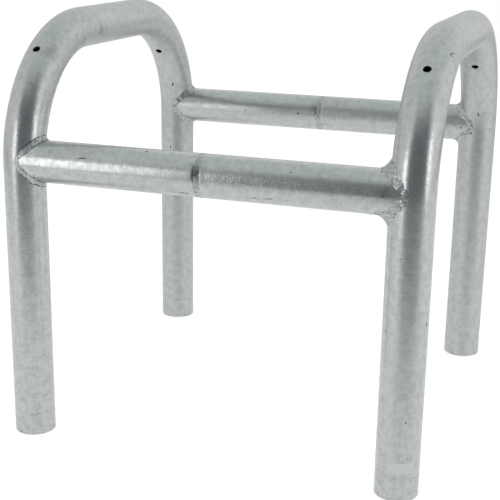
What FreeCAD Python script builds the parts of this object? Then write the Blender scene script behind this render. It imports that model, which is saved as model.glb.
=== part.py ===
"""Parking protection barrier: two bent tube hoops joined by rails that plug together at mid length.

The frame is two identical halves. The left half is drawn in the barrier's own frame, and the right half
is the same half turned by 180 degrees about the vertical axis. X runs along the rails, Y from the front
to the rear and Z up. The origin is at the feet, midway between the four legs. Sizes are millimetres.
"""
import FreeCAD, Part
import math
import os
import Sketcher

from FreeCAD import Placement, Rotation, Vector

# Driving dimensions of the barrier, as text for the sheet's cells
SIZES = {
    "tube_diameter": "60.3",
    "tube_wall": "2.9",
    "hoop_spacing": "560",
    "leg_spacing": "566",
    "overall_height": "620",
    "bend_radius": "184",
    "foot_edge_round": "0.6",
    "vent_diameter": "12",
    "vent_angle": "50",
    "rail_over_bend_start": "12",
    "rail_root_gap": "1",
    "spigot_clearance": "0.4",
    "spigot_wall": "2.6",
    "spigot_held_length": "80",
    "spigot_entry_length": "100",
    "spigot_lead_chamfer": "1.5",
    "seam_bead_width": "8",
    "seam_bead_recess": "0.8",
    "seam_bead_crown": "0.8",
    "seam_gap": "0.4",
    "saddle_bead_width": "9",
    "saddle_rise_on_rail": "5",
    "saddle_rise_on_hoop": "5.5",
    "saddle_side_rise": "2.5",
    "weld_fit_gap": "0.05",
    "label_width": "36",
    "label_height": "16",
    "label_thickness": "0.2",
    "label_bottom": "41",
    "label_turn": "22",
}

# Sizes that follow from the driving dimensions, as expressions over the sheet
TUBE_RADIUS = "(Sizes.tube_diameter / 2)"
BORE_RADIUS = "(Sizes.tube_diameter / 2 - Sizes.tube_wall)"
HOOP_X = "(-Sizes.hoop_spacing / 2)"
LEG_Y = "(Sizes.leg_spacing / 2)"
BEND_CENTRE_Y = "(Sizes.leg_spacing / 2 - Sizes.bend_radius)"
BEND_START = "(Sizes.overall_height - Sizes.tube_diameter / 2 - Sizes.bend_radius)"
TOP_AXIS = "(Sizes.overall_height - Sizes.tube_diameter / 2)"
RAIL_HEIGHT = f"({BEND_START} + Sizes.rail_over_bend_start)"
SOCKET_RAIL_LENGTH = "(Sizes.hoop_spacing / 2 - Sizes.seam_bead_width)"
SPIGOT_RAIL_LENGTH = "(Sizes.hoop_spacing / 2)"
SPIGOT_RADIUS = f"({BORE_RADIUS} - Sizes.spigot_clearance)"
SPIGOT_LENGTH = "(Sizes.spigot_held_length + Sizes.seam_bead_width + Sizes.spigot_entry_length)"
SEAM_BEAD_LENGTH = "(Sizes.seam_bead_width - Sizes.seam_gap)"
SEAM_BEAD_INNER = f"({SPIGOT_RADIUS} + Sizes.weld_fit_gap)"
SEAM_BEAD_EDGE = f"({TUBE_RADIUS} - Sizes.seam_bead_recess - Sizes.seam_bead_crown)"
SEAM_BEAD_ARC = f"(({SEAM_BEAD_LENGTH}^2 / 4 + Sizes.seam_bead_crown^2) / (2 * Sizes.seam_bead_crown))"
SADDLE_RADIUS = f"({TUBE_RADIUS} + Sizes.saddle_rise_on_rail)"
SADDLE_SIDE = f"({TUBE_RADIUS} + Sizes.saddle_side_rise)"
SADDLE_APEX = "(Sizes.saddle_bead_width / sqrt(2))"
LABEL_INNER = f"({TUBE_RADIUS} + Sizes.weld_fit_gap)"
LABEL_ANGLE = f"(Sizes.label_width / {TUBE_RADIUS} * 180 / pi)"

HALF_TURN = 180
QUARTER_TURN = 90
EIGHTH_TURN = 45
FULL_TURN = 360
AXIS_X = Vector(1, 0, 0)
AXIS_Y = Vector(0, 1, 0)
AXIS_Z = Vector(0, 0, 1)
ALONG_X = Rotation(AXIS_Y, QUARTER_TURN)
TOUCH = 1e-4

# The two ends of the left half: the socket rail is in front and the spigot rail at the rear
SOCKET_END = -1
SPIGOT_END = 1
SIDES = {"left": 0, "right": HALF_TURN}
END_NAMES = {
    ("left", SOCKET_END): "left_front",
    ("left", SPIGOT_END): "left_rear",
    ("right", SOCKET_END): "right_rear",
    ("right", SPIGOT_END): "right_front",
}

doc = FreeCAD.newDocument("parking_barrier")
parts = []


def add_sheet():
    """Put the driving dimensions in a sheet, one named cell each."""
    sheet = doc.addObject("Spreadsheet::Sheet", "Sizes")
    for row, (alias, value) in enumerate(SIZES.items(), start=1):
        sheet.set(f"A{row}", alias)
        sheet.set(f"B{row}", value)
        sheet.setAlias(f"B{row}", alias)
    doc.recompute()


def bind(obj, **expressions):
    """Bind properties to expressions; a double underscore in a property's name stands for a dot."""
    for name, expression in expressions.items():
        obj.setExpression(name.replace("__", "."), str(expression))
    return obj


def place(obj, x="0", y="0", z="0", rotation=Rotation()):
    """Set an object's place by expressions, and its rotation."""
    obj.Placement = Placement(Vector(), rotation)
    return bind(obj, Placement__Base__x=x, Placement__Base__y=y, Placement__Base__z=z)


def finish_part(obj, label, side):
    """Give a finished sub-part its label and turn it into its own half of the frame."""
    obj.Label = label
    obj.Placement = Placement(Vector(), Rotation(AXIS_Z, SIDES[side]))
    parts.append(obj)


def cut(base, tool, name):
    """Subtract one object from another."""
    result = doc.addObject("Part::Cut", name)
    result.Base = base
    result.Tool = tool
    return result


def common(base, tool, name):
    """Keep what two objects share."""
    result = doc.addObject("Part::Common", name)
    result.Base = base
    result.Tool = tool
    return result


def fuse(shapes, name):
    """Join objects into one solid."""
    result = doc.addObject("Part::MultiFuse", name)
    result.Shapes = shapes
    return result


def side_y(end, distance):
    """A distance from the middle plane towards the socket end or the spigot end."""
    return f"({end} * {distance})"


def add_cylinder(name, radius, height, x, y, z, rotation=Rotation()):
    """A solid cylinder whose axis is vertical unless it is turned."""
    cylinder = doc.addObject("Part::Cylinder", name)
    bind(cylinder, Radius=radius, Height=height)
    return place(cylinder, x, y, z, rotation)


def origin_plane(body, role):
    """Find one of a body's own origin planes."""
    return next(plane for plane in body.Origin.OriginFeatures if plane.Role == role)


def add_sketch(body, name, role, x="0", y="0", z="0"):
    """Add a sketch on one of the body's origin planes, moved by expressions in the plane's own axes."""
    sketch = body.newObject("Sketcher::SketchObject", name)
    sketch.AttachmentSupport = [(origin_plane(body, role), "")]
    sketch.MapMode = "FlatFace"
    return bind(sketch, AttachmentOffset__Base__x=x, AttachmentOffset__Base__y=y, AttachmentOffset__Base__z=z)


def constrain(sketch, name, expression, *constraint):
    """Add a named dimension to a sketch and bind it to an expression."""
    index = sketch.addConstraint(Sketcher.Constraint(*constraint))
    sketch.renameConstraint(index, name)
    sketch.setExpression(f"Constraints.{name}", expression)


def draw_ring(sketch, radius, bore, drop=None):
    """Draw a tube's section round the sketch's origin, or below it by a drop."""
    start = Vector(0, -1 if drop else 0, 0)
    for name, size, guess in (("outer", radius, 2), ("inner", bore, 1)):
        circle = sketch.addGeometry(Part.Circle(start, AXIS_Z, guess))
        if drop:
            sketch.addConstraint(Sketcher.Constraint("PointOnObject", circle, 3, -2))
            constrain(sketch, f"{name}_drop", drop, "DistanceY", circle, 3, -1, 1, 1)
        else:
            sketch.addConstraint(Sketcher.Constraint("Coincident", circle, 3, -1, 1))
        constrain(sketch, f"{name}_radius", size, "Radius", circle, guess)


def add_pad(body, name, sketch, length):
    """Extrude a sketch along its plane's normal."""
    pad = body.newObject("PartDesign::Pad", name)
    pad.Profile = sketch
    return bind(pad, Length=length)


def circle_edges(feature, axis, position, radius):
    """Names of a feature's circular edges of one radius that lie at a position along an axis."""
    names = []
    for number, edge in enumerate(feature.Shape.Edges, start=1):
        round_edge = isinstance(edge.Curve, Part.Circle) and abs(edge.Curve.Radius - radius) < TOUCH
        if round_edge and abs(edge.Curve.Center.dot(axis) - position) < TOUCH:
            names.append(f"Edge{number}")
    return names


def add_hoop(side):
    """A hoop bent from one tube: half of it is drawn, with its vent hole, and mirrored."""
    body = doc.addObject("PartDesign::Body", f"{side}_hoop_body")
    foot = add_sketch(body, f"{side}_foot_section", "XY_Plane", HOOP_X, side_y(-1, LEG_Y))
    draw_ring(foot, TUBE_RADIUS, BORE_RADIUS)
    leg = add_pad(body, f"{side}_leg", foot, BEND_START)

    bend_sketch = add_sketch(
        body, f"{side}_bend_section", "XY_Plane", HOOP_X, side_y(-1, BEND_CENTRE_Y), BEND_START
    )
    draw_ring(bend_sketch, TUBE_RADIUS, BORE_RADIUS, drop="Sizes.bend_radius")
    bend = body.newObject("PartDesign::Revolution", f"{side}_bend")
    bend.Profile = bend_sketch
    bend.ReferenceAxis = (bend_sketch, ["H_Axis"])
    bend.Angle = QUARTER_TURN
    bend.Reversed = True

    top_sketch = add_sketch(body, f"{side}_top_section", "XZ_Plane", HOOP_X, TOP_AXIS)
    draw_ring(top_sketch, TUBE_RADIUS, BORE_RADIUS)
    top = add_pad(body, f"{side}_top", top_sketch, BEND_CENTRE_Y)

    vent = body.newObject("PartDesign::SubtractiveCylinder", f"{side}_vent")
    vent.AttachmentSupport = [(origin_plane(body, "XY_Plane"), "")]
    vent.MapMode = "FlatFace"
    vent.AttachmentOffset = Placement(Vector(), Rotation(AXIS_X, QUARTER_TURN))
    bind(
        vent,
        Radius="Sizes.vent_diameter / 2",
        Height="Sizes.bend_radius + Sizes.tube_diameter",
        AttachmentOffset__Base__x=HOOP_X,
        AttachmentOffset__Base__y=side_y(-1, BEND_CENTRE_Y),
        AttachmentOffset__Base__z=BEND_START,
        AttachmentOffset__Rotation__Angle=f"{QUARTER_TURN} - Sizes.vent_angle",
    )
    mirrored = body.newObject("PartDesign::Mirrored", f"{side}_mirrored")
    mirrored.Originals = [leg, bend, top, vent]
    mirrored.MirrorPlane = (origin_plane(body, "XZ_Plane"), [""])
    body.Tip = mirrored
    doc.recompute()

    sheet = doc.Sizes
    rounding = body.newObject("PartDesign::Fillet", f"{side}_foot_edges")
    rounding.Base = (mirrored, circle_edges(mirrored, AXIS_Z, 0, sheet.tube_diameter / 2))
    bind(rounding, Radius="Sizes.foot_edge_round")
    finish_part(body, f"{side}_hoop", side)


def add_hoop_core(name, end, grow):
    """The solid rod inside one leg and bend, grown by a gap: it trims what is welded to the hoop."""
    radius = f"{TUBE_RADIUS} + {grow}"
    leg = add_cylinder(f"{name}_leg", radius, BEND_START, HOOP_X, side_y(end, LEG_Y), "0")
    bend = doc.addObject("Part::Torus", f"{name}_bend")
    bind(bend, Radius1="Sizes.bend_radius", Radius2=radius)
    bend.Angle3 = QUARTER_TURN
    outwards = AXIS_Y * end
    upright = Rotation(outwards, AXIS_Z, outwards.cross(AXIS_Z), "XYZ")
    place(bend, HOOP_X, side_y(end, BEND_CENTRE_Y), BEND_START, upright)
    return fuse([leg, bend], name)


def add_rail(side, end, length):
    """A half rail: tube from the hoop to the seam, its end cut to the hoop's shape."""
    label = END_NAMES[side, end]
    where = (HOOP_X, side_y(end, LEG_Y), RAIL_HEIGHT, ALONG_X)
    outside = add_cylinder(f"{label}_rail_outside", TUBE_RADIUS, length, *where)
    bore = add_cylinder(f"{label}_rail_bore", BORE_RADIUS, length, *where)
    tube = cut(outside, bore, f"{label}_rail_tube")
    core = add_hoop_core(f"{label}_rail_cope", end, "Sizes.rail_root_gap")
    finish_part(cut(tube, core, f"{label}_rail_coped"), f"{label}_rail", side)


def add_saddle_weld(side, end):
    """The bead round a rail's end: a collar on the rail, kept where two sloping arms cross the hoop."""
    label = END_NAMES[side, end]
    y = side_y(end, LEG_Y)
    arms = []
    for name, x, z, slope in (
        ("upper", HOOP_X, f"{RAIL_HEIGHT} - {SADDLE_APEX}", -EIGHTH_TURN),
        ("lower", f"{HOOP_X} - {SADDLE_APEX}", RAIL_HEIGHT, EIGHTH_TURN),
    ):
        arm = doc.addObject("Part::Box", f"{label}_{name}_arm")
        bind(arm, Length=f"2 * {SADDLE_RADIUS}", Width=f"2 * {SADDLE_SIDE}", Height="Sizes.saddle_bead_width")
        arms.append(place(arm, x, f"{y} - {SADDLE_SIDE}", z, Rotation(AXIS_Y, slope)))
    chevron = fuse(arms, f"{label}_chevron")

    along_rail = (f"2 * {SADDLE_RADIUS}", f"{HOOP_X} - {SADDLE_APEX}", y, RAIL_HEIGHT, ALONG_X)
    outside = add_cylinder(f"{label}_collar_outside", SADDLE_RADIUS, *along_rail)
    seat = add_cylinder(f"{label}_collar_seat", f"{TUBE_RADIUS} + 2 * Sizes.weld_fit_gap", *along_rail)
    collar = cut(outside, seat, f"{label}_collar")
    band = common(collar, chevron, f"{label}_band")
    reach = add_hoop_core(f"{label}_bead_reach", end, "Sizes.saddle_rise_on_hoop")
    bead = common(band, reach, f"{label}_bead")
    core = add_hoop_core(f"{label}_bead_core", end, "Sizes.weld_fit_gap")
    finish_part(cut(bead, core, f"{label}_bead_trimmed"), f"{label}_weld", side)


def add_spigot(side):
    """The smaller tube held in the spigot rail, with a chamfered lead at its free end."""
    body = doc.addObject("PartDesign::Body", f"{side}_spigot_body")
    section = add_sketch(
        body,
        f"{side}_spigot_section",
        "YZ_Plane",
        side_y(SPIGOT_END, LEG_Y),
        RAIL_HEIGHT,
        "-Sizes.spigot_held_length",
    )
    draw_ring(section, SPIGOT_RADIUS, f"{SPIGOT_RADIUS} - Sizes.spigot_wall")
    tube = add_pad(body, f"{side}_spigot_tube", section, SPIGOT_LENGTH)
    doc.recompute()
    sheet = doc.Sizes
    tip = sheet.seam_bead_width + sheet.spigot_entry_length
    radius = sheet.tube_diameter / 2 - sheet.tube_wall - sheet.spigot_clearance
    lead = body.newObject("PartDesign::Chamfer", f"{side}_spigot_lead")
    lead.Base = (tube, circle_edges(tube, AXIS_X, tip, radius))
    bind(lead, Size="Sizes.spigot_lead_chamfer")
    finish_part(body, f"{side}_spigot", side)


def add_spigot_weld(side):
    """The crowned ring weld between the spigot and the mouth of its rail."""
    body = doc.addObject("PartDesign::Body", f"{side}_spigot_weld_body")
    profile = add_sketch(
        body, f"{side}_ring_profile", "XZ_Plane", "0", RAIL_HEIGHT, side_y(-SPIGOT_END, LEG_Y)
    )
    sheet = doc.Sizes
    length = sheet.seam_bead_width - sheet.seam_gap
    edge = sheet.tube_diameter / 2 - sheet.seam_bead_recess - sheet.seam_bead_crown
    inner = edge - sheet.seam_bead_crown
    radius = (length ** 2 / 4 + sheet.seam_bead_crown ** 2) / (2 * sheet.seam_bead_crown)
    centre = Vector(length / 2, edge + sheet.seam_bead_crown - radius, 0)
    spread = math.asin(length / 2 / radius)
    circle = Part.Circle(centre, AXIS_Z, radius)
    low, high = math.pi / 2 - spread, math.pi / 2 + spread

    mouth = profile.addGeometry(Part.LineSegment(Vector(0, inner, 0), Vector(0, edge, 0)))
    crown = profile.addGeometry(Part.ArcOfCircle(circle, low, high))
    face = profile.addGeometry(Part.LineSegment(Vector(length, edge, 0), Vector(length, inner, 0)))
    base = profile.addGeometry(Part.LineSegment(Vector(length, inner, 0), Vector(0, inner, 0)))
    for corner in ((mouth, 2, crown, 2), (crown, 1, face, 1), (face, 2, base, 1), (base, 2, mouth, 1)):
        profile.addConstraint(Sketcher.Constraint("Coincident", *corner))
    for rule in (("Vertical", mouth), ("Vertical", face), ("Horizontal", base), ("Equal", mouth, face)):
        profile.addConstraint(Sketcher.Constraint(*rule))
    profile.addConstraint(Sketcher.Constraint("PointOnObject", mouth, 1, -2))
    constrain(profile, "inner", SEAM_BEAD_INNER, "DistanceY", -1, 1, mouth, 1, inner)
    constrain(profile, "edge", SEAM_BEAD_EDGE, "DistanceY", -1, 1, mouth, 2, edge)
    constrain(profile, "length", SEAM_BEAD_LENGTH, "DistanceX", mouth, 1, face, 2, length)
    constrain(profile, "crown", SEAM_BEAD_ARC, "Radius", crown, radius)
    ring = body.newObject("PartDesign::Revolution", f"{side}_ring")
    ring.Profile = profile
    ring.ReferenceAxis = (profile, ["H_Axis"])
    ring.Angle = FULL_TURN
    finish_part(body, f"{side}_spigot_weld", side)


def add_label():
    """A thin blank label wrapped round the front of the right front leg, near its foot."""
    where = (f"-{HOOP_X}", side_y(-1, LEG_Y), "Sizes.label_bottom", Rotation(-AXIS_Z, QUARTER_TURN))
    outside = f"{LABEL_INNER} + Sizes.label_thickness"
    outer = add_cylinder("label_outer", outside, "Sizes.label_height", *where)
    bind(
        outer,
        Angle=LABEL_ANGLE,
        Placement__Rotation__Angle=f"{QUARTER_TURN} - Sizes.label_turn + {LABEL_ANGLE} / 2",
    )
    inner = add_cylinder("label_inner", LABEL_INNER, "Sizes.label_height", *where)
    finish_part(cut(outer, inner, "label_wrap"), "label", "left")


def check_document():
    """Stop if any object failed, or if a sub-part isn't one valid solid."""
    for obj in doc.Objects:
        if "Invalid" in obj.State or "Error" in obj.State:
            raise RuntimeError(f"{obj.Name} failed: {obj.State}")
    for part in parts:
        shape = part.Shape
        if shape.isNull() or not shape.isValid() or len(shape.Solids) != 1:
            raise RuntimeError(f"{part.Label} is not one valid solid")


def export_parts():
    """Write each sub-part's solid to its own file, named by its label."""
    os.makedirs("parts", exist_ok=True)
    for part in parts:
        part.Shape.exportStep(f"parts/{part.Label}.step")
        print(part.Label, round(part.Shape.Volume, 1), part.Shape.BoundBox)


add_sheet()
for half in SIDES:
    add_hoop(half)
    add_rail(half, SOCKET_END, SOCKET_RAIL_LENGTH)
    add_rail(half, SPIGOT_END, SPIGOT_RAIL_LENGTH)
    add_saddle_weld(half, SOCKET_END)
    add_saddle_weld(half, SPIGOT_END)
    add_spigot(half)
    add_spigot_weld(half)
add_label()
doc.recompute()
check_document()
export_parts()
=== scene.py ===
"""Looks of the parking protection barrier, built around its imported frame.

The barrier is a hot-dip galvanised tube frame that plugs together from two halves. Each half has a hoop bent
from one tube, two half rails that are welded to it, and a spigot that slides into the other half's rail. All
lengths are in metres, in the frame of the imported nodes.
"""

import logging
import math
import random
from contextlib import contextmanager
from dataclasses import dataclass
from enum import Enum
from functools import partial
from typing import Any, Callable, Iterator

import bpy
import numpy as np
from bpy.types import Material, NodeSocket, NodeTree, Object
from mathutils import Matrix, Vector


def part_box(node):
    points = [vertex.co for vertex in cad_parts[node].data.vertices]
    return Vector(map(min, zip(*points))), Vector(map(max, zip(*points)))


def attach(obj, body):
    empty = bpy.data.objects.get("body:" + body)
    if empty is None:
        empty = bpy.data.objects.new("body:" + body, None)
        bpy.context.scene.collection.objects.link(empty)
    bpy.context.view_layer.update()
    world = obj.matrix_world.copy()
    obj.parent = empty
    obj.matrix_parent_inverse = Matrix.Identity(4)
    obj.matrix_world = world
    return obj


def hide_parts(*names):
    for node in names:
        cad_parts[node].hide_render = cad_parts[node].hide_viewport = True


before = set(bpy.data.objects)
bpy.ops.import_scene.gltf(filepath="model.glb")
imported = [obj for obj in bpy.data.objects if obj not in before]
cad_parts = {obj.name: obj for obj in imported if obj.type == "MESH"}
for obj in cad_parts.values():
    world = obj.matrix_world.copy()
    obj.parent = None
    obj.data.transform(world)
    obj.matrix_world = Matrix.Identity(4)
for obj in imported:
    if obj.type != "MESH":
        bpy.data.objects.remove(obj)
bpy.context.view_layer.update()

MM = 0.001
LOG = logging.getLogger("barrier")

Span = tuple[float, float]
Triple = tuple[float, float, float]
Colour = tuple[float, float, float, float]
AddNode = Callable[..., Any]


class FramePart(Enum):
    """A choice among parts of the frame, each with the word that node names have for it."""

    @property
    def word(self) -> str:
        """The word that stands for the part in node names."""
        return self.name.lower()


class Half(FramePart):
    """The two half frames, each by the body that it rides on."""

    LEFT = "left_half"
    RIGHT = "right_half"

    @property
    def inward(self) -> int:
        """The direction along X in which the half's rails leave its hoop."""
        return 1 if self is Half.LEFT else -1


class Side(FramePart):
    """The front and the rear of the frame, each by its direction along Y."""

    FRONT = -1
    REAR = 1


class Kept(Enum):
    """What a piece keeps for each vertex as an attribute, for its finish to read."""

    TUBE_PLACE = "straight_tube"
    DULL = "dull_share"
    GRAIN = "grain_share"
    TOE = "weld_toe"
    STAIN = "ash_stain"


@dataclass(frozen=True)
class Spot:
    """A place on a tube's outside, with its outward normal and the direction along the tube."""

    place: Vector
    normal: Vector
    along: Vector


@dataclass(frozen=True)
class FrameSizes:
    """Sizes that the tubes and welds share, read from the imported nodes, with the shop sizes of the tube."""

    radius: float
    hoop_x: float
    leg_y: float
    top_z: float
    rail_z: float
    wall: float = 2.9 * MM
    bend_radius: float = 184 * MM

    @classmethod
    def from_nodes(cls) -> "FrameSizes":
        """Reads the sizes from the boxes of the left hoop and its front rail.

        Returns:
            The sizes, which are alike on both halves.
        """
        rail_low, rail_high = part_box("left_front_rail")
        hoop_low, hoop_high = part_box("left_hoop")
        radius = (rail_high.z - rail_low.z) / 2
        return cls(
            radius=radius,
            hoop_x=-(hoop_low.x + hoop_high.x) / 2,
            leg_y=hoop_high.y - radius,
            top_z=hoop_high.z - radius,
            rail_z=(rail_low.z + rail_high.z) / 2,
        )

    @property
    def bend_y(self) -> float:
        """Distance of a bend's centre from the middle of the hoop."""
        return self.leg_y - self.bend_radius

    @property
    def bend_z(self) -> float:
        """Height at which the leg ends and the bend starts."""
        return self.top_z - self.bend_radius

    @property
    def half_path(self) -> float:
        """Length of the hoop's centre line from a foot to the middle of its top."""
        return self.bend_z + self.bend_radius * math.pi / 2 + self.bend_y

    def along_hoop(self, points: np.ndarray) -> tuple[np.ndarray, np.ndarray, np.ndarray]:
        """Measures points against a hoop's centre line.

        Args:
            points: Rows of X, Y and Z.

        Returns:
            The distance outwards from the line, the length along it from the front foot, and the unit
            vectors that point outwards, as rows of Y and Z.
        """
        y, z = points[:, 1], points[:, 2]
        across = np.abs(y)
        bend_across, bend_up = across - self.bend_y, z - self.bend_z
        reach = np.maximum(np.hypot(bend_across, bend_up), MM)
        bend_length = self.bend_z + self.bend_radius * np.arctan2(bend_up, bend_across)
        on_leg = z <= self.bend_z
        on_top = ~on_leg & (across < self.bend_y)
        zeros, ones = np.zeros_like(z), np.ones_like(z)
        offset, length, out_y, out_z = (
            np.select([on_leg, on_top], [leg, top], bend)
            for leg, top, bend in (
                (across - self.leg_y, z - self.top_z, reach - self.bend_radius),
                (z, self.half_path - across, bend_length),
                (ones, zeros, bend_across / reach),
                (zeros, ones, bend_up / reach),
            )
        )
        length = np.where(y > 0, 2 * self.half_path - length, length)
        return offset, length, np.column_stack([np.sign(y) * out_y, out_z])

    def onto_hoop(self, points: np.ndarray, hoop_x: float, sink: float) -> tuple[np.ndarray, np.ndarray]:
        """Moves points to the nearest place on a hoop's outside.

        Args:
            points: Rows of X, Y and Z near the hoop.
            hoop_x: The place of the hoop along X.
            sink: How deep below the outside the points end up.

        Returns:
            The moved points and the outward normals there.
        """
        offset, _, outward = self.along_hoop(points)
        side = points[:, 0] - hoop_x
        normal_x, normal_out = np.stack([side, offset]) / np.maximum(np.hypot(side, offset), 0.01 * MM)
        normals = np.column_stack([normal_x, normal_out[:, None] * outward])
        centre = points - np.column_stack([side, offset[:, None] * outward])
        return centre + normals * (self.radius - sink), normals

    def hoop_spot(self, half: Half, length_mm: float, turn: float) -> Spot:
        """Finds a spot on a hoop's outside.

        Args:
            half: The half whose hoop it is.
            length_mm: The length along the hoop's centre line from its front foot, in millimetres.
            turn: The angle round the tube in degrees, from the outside of the hoop towards +X.

        Returns:
            The spot.
        """
        length = length_mm * MM
        side = -1 if length < self.half_path else 1
        from_foot = min(length, 2 * self.half_path - length)
        bent = min(max((from_foot - self.bend_z) / self.bend_radius, 0.0), math.pi / 2)
        outward = Vector((0, side * math.cos(bent), math.sin(bent)))
        along = Vector((0, -side * math.sin(bent), math.cos(bent)))
        straight = from_foot - self.bend_z - self.bend_radius * bent
        bend_centre = Vector((-half.inward * self.hoop_x, side * self.bend_y, self.bend_z))
        angle = math.radians(turn)
        normal = outward * math.cos(angle) + Vector((math.sin(angle), 0, 0))
        place = bend_centre + outward * self.bend_radius + along * straight + normal * self.radius
        return Spot(place, normal, along)

    def rail_spot(self, side: Side, x_mm: float, turn: float) -> Spot:
        """Finds a spot on a rail's outside.

        Args:
            side: The side of the frame that the rail is on.
            x_mm: The place along the rail in millimetres.
            turn: The angle round the rail in degrees, from +Y upwards.

        Returns:
            The spot.
        """
        angle = math.radians(turn)
        normal = Vector((0, math.cos(angle), math.sin(angle)))
        axis = Vector((x_mm * MM, side.value * self.leg_y, self.rail_z))
        return Spot(axis + normal * self.radius, normal, Vector((1, 0, 0)))

    def rail_axis(self, side: Side) -> np.ndarray:
        """Gives the middle of a rail's axis."""
        return np.array([0.0, side.value * self.leg_y, self.rail_z])

    def sheltered(self, y: np.ndarray) -> np.ndarray:
        """Gives 1 over most of the frame, which falls to 0 on the outer face of its rear tubes."""
        return np.clip(1 - (y - self.leg_y) / self.radius, 0.0, 1.0)

    def cope(self, points: np.ndarray) -> np.ndarray:
        """Gives how far a hoop's outside stands from its plane, beside points."""
        offset, _, _ = self.along_hoop(points)
        return np.sqrt(np.maximum(self.radius**2 - offset**2, 0.0))


# Modelling


def take(*pieces: Object) -> None:
    """Selects pieces and nothing else.

    Args:
        pieces: What is selected, the first of it active.
    """
    bpy.ops.object.select_all(action="DESELECT")
    for piece in pieces:
        piece.select_set(True)
    bpy.context.view_layer.objects.active = pieces[0]


@contextmanager
def editing(piece: Object) -> Iterator[None]:
    """Opens a piece in edit mode with all of it selected, and closes it again.

    Args:
        piece: What is edited.
    """
    take(piece)
    bpy.ops.object.mode_set(mode="EDIT")
    bpy.ops.mesh.select_all(action="SELECT")
    yield
    bpy.ops.object.mode_set(mode="OBJECT")


def start_piece(primitive: Callable[..., Any], **settings: Any) -> Object:
    """Adds a primitive with nothing else selected and puts its place into its mesh.

    Args:
        primitive: The operator that adds it.
        settings: The operator's sizes and place.

    Returns:
        The new object, at the origin, unturned and unscaled.
    """
    bpy.ops.object.select_all(action="DESELECT")
    primitive(**settings)
    bpy.ops.object.transform_apply(location=True, rotation=True, scale=True)
    return bpy.context.object


def apply_modifier(piece: Object, kind: str, **settings: Any) -> None:
    """Adds a modifier and applies it.

    Args:
        piece: What is modified.
        kind: The modifier's type.
        settings: The modifier's settings.
    """
    take(piece)
    modifier = piece.modifiers.new(kind.lower(), kind)
    for name, value in settings.items():
        setattr(modifier, name, value)
    bpy.ops.object.modifier_apply(modifier=modifier.name)


def join(pieces: list[Object]) -> Object:
    """Joins pieces into the first of them.

    Args:
        pieces: What is joined.

    Returns:
        The first piece, which has taken in the others.
    """
    take(*pieces)
    bpy.ops.object.join()
    return pieces[0]


def face_outwards(piece: Object) -> None:
    """Merges a piece's doubles and turns all its faces outwards.

    Args:
        piece: A closed shape, or an open tube or sheet that has no wall yet.
    """
    with editing(piece):
        bpy.ops.mesh.remove_doubles(threshold=0.001 * MM)
        bpy.ops.mesh.normals_make_consistent(inside=False)


def points_of(piece: Object) -> np.ndarray:
    """Reads where a piece's vertices are.

    Args:
        piece: The piece that is read.

    Returns:
        Rows of X, Y and Z.
    """
    flat = np.zeros(3 * len(piece.data.vertices))
    piece.data.vertices.foreach_get("co", flat)
    return flat.reshape(-1, 3)


def fill(items: Any, field: str, rows: np.ndarray) -> None:
    """Sets a field of all items of a mesh, and stops where rows and items differ, which Blender lets pass.

    Args:
        items: The vertices, faces or attribute values.
        field: What is set.
        rows: One number or one row for each item.
    """
    if len(rows) != len(items):
        raise ValueError(f"{len(rows)} rows of {field} for {len(items)} items")
    items.foreach_set(field, rows.ravel())


def move_points(piece: Object, points: np.ndarray) -> None:
    """Puts a piece's vertices at rows of X, Y and Z."""
    fill(piece.data.vertices, "co", points)
    piece.data.update()


def store(piece: Object, kept: Kept, values: np.ndarray) -> None:
    """Keeps one number or one vector for each vertex of a piece.

    Args:
        piece: The piece that keeps it.
        kept: What it is.
        values: The numbers, or rows of X, Y and Z.
    """
    kind, field = ("FLOAT", "value") if values.ndim == 1 else ("FLOAT_VECTOR", "vector")
    attribute = piece.data.attributes.new(kept.value, kind, "POINT")
    fill(attribute.data, field, values.astype(np.float32))


# Finishes


def linear(colour: str) -> Colour:
    """Turns an sRGB hex colour into linear red, green and blue with full alpha."""
    channels = [int(colour[place:place + 2], 16) / 255 for place in (1, 3, 5)]
    return (*[c / 12.92 if c <= 0.04045 else ((c + 0.055) / 1.055) ** 2.4 for c in channels], 1.0)


def per_metre(size_mm: float) -> float:
    """Gives a texture's scale for a pattern whose cells are this many millimetres wide."""
    return 1 / (size_mm * MM)


def add_node(
    tree: NodeTree, kind: str, inputs: Any = (), output: str | None = None, **settings: Any
) -> NodeSocket | None:
    """Adds a node to a tree.

    Args:
        tree: The tree of a material or of the world.
        kind: The node's type, without the start that all types share.
        inputs: What the inputs hold, each a constant or an output to link from: a dictionary by their names,
            or a tuple in their order, without those that the settings switch off.
        output: The name of the output that is wanted, where it isn't the first one that is switched on.
        settings: The node's own settings.

    Returns:
        That output, or none where the node has no output.
    """
    node = tree.nodes.new(f"ShaderNode{kind}")
    for name, value in settings.items():
        setattr(node, name, value)
    if isinstance(inputs, dict):
        fed = [(node.inputs[name], value) for name, value in inputs.items()]
    else:
        fed = zip([socket for socket in node.inputs if socket.enabled], inputs)
    for socket, value in fed:
        if isinstance(value, NodeSocket):
            tree.links.new(value, socket)
        else:
            socket.default_value = value
    if output:
        return node.outputs[output]
    return next((socket for socket in node.outputs if socket.enabled), None)


def fade_out(add: AddNode, *edges: tuple[NodeSocket, float, float]) -> NodeSocket:
    """Masks an area that fades out softly at two edges.

    Args:
        add: Adds a node to the tree.
        edges: For each edge, the output that is measured and where the fade starts and ends.

    Returns:
        The mask, 1 inside the area.
    """
    masks = [
        add("MapRange", (value, start, end, 1.0, 0.0), interpolation_type="SMOOTHSTEP")
        for value, start, end in edges
    ]
    return add("Math", masks, operation="MULTIPLY")


@dataclass(frozen=True)
class Relief:
    """A pattern that stands out from a skin, or is sunk into it."""

    pattern: NodeSocket
    strength: NodeSocket | float
    depth_mm: float
    sunk: bool = False


Drawing = tuple[dict[str, Any], list[Relief]]


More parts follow.
